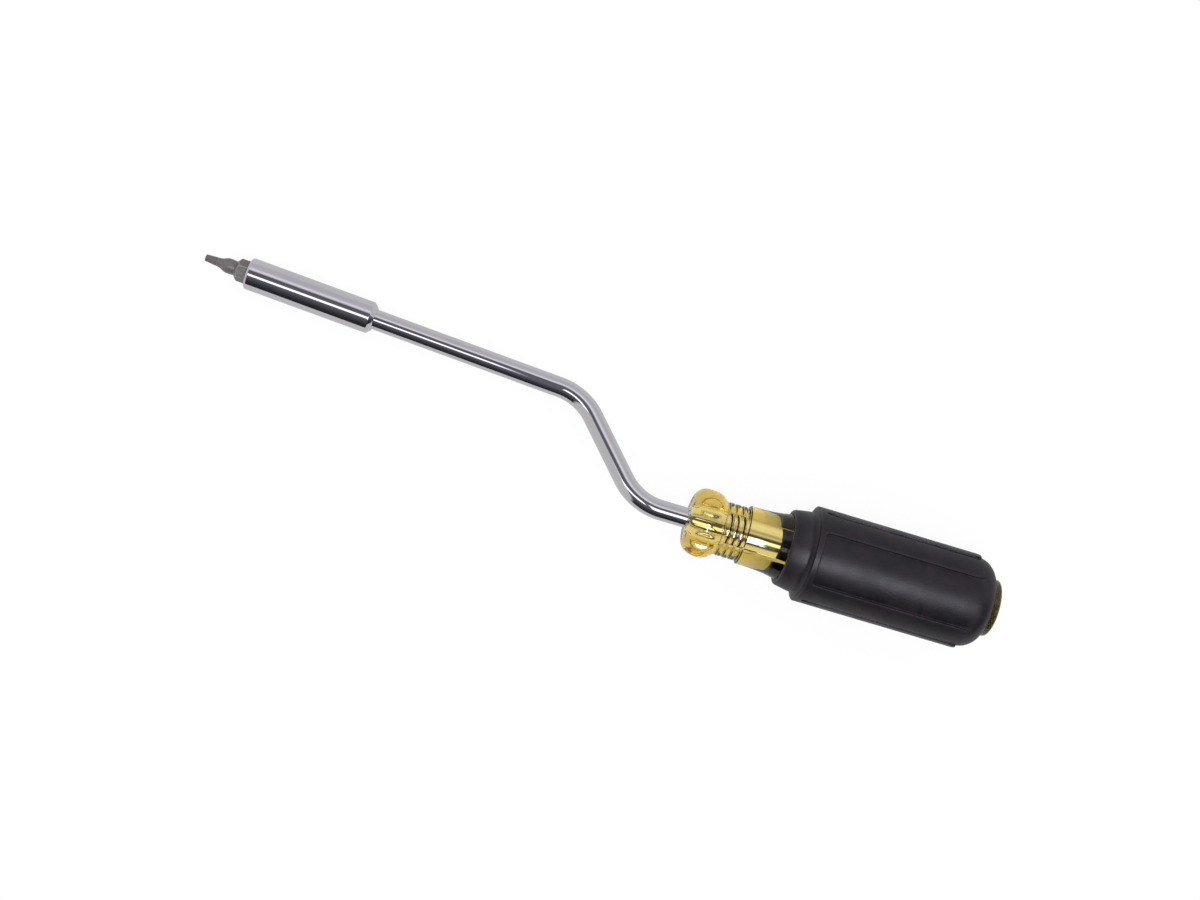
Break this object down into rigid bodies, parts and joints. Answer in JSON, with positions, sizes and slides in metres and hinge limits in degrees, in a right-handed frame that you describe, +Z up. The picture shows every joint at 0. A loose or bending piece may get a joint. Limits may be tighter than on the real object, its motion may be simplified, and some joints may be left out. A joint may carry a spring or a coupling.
{
  "type": "cranked multi-bit screwdriver",
  "caption": "Screwdriver with an offset crank in its chromed bar, a magnetic hex bit holder with a square bit, and a clear amber handle under a ribbed rubber grip.",
  "frame": {"origin": "centre of the tool's box on the surface that it lies on", "axes": "+X along the handle's axis from the bit towards the butt, +Z up from the surface, out of the grip's upper panel, +Y to the side that the crank bends to"},
  "size_m": [0.264, 0.0536, 0.0304],
  "materials": {
    "bit_steel": "dark phosphated steel",
    "chrome": "polished chrome plate",
    "spring_steel": "bright spring wire",
    "magnet": "nickel plate",
    "amber_plastic": "clear amber, polished",
    "grip_rubber": "satin moulded rubber"
  },
  "bodies": {
    "driver": {"bit_holder": "chrome", "retaining_ring": "spring_steel", "socket_magnet": "magnet", "crank_shank": "chrome", "handle_core": "amber_plastic", "cushion_grip": "grip_rubber"},
    "bit": {"square_bit": "bit_steel"}
  },
  "joints": [
    {"name": "bit_pull", "type": "slide", "parent": "driver", "child": "bit", "axis": [-0.9981, 0.0584, -0.0178], "range_m": [0, 0.014]}
  ]
}
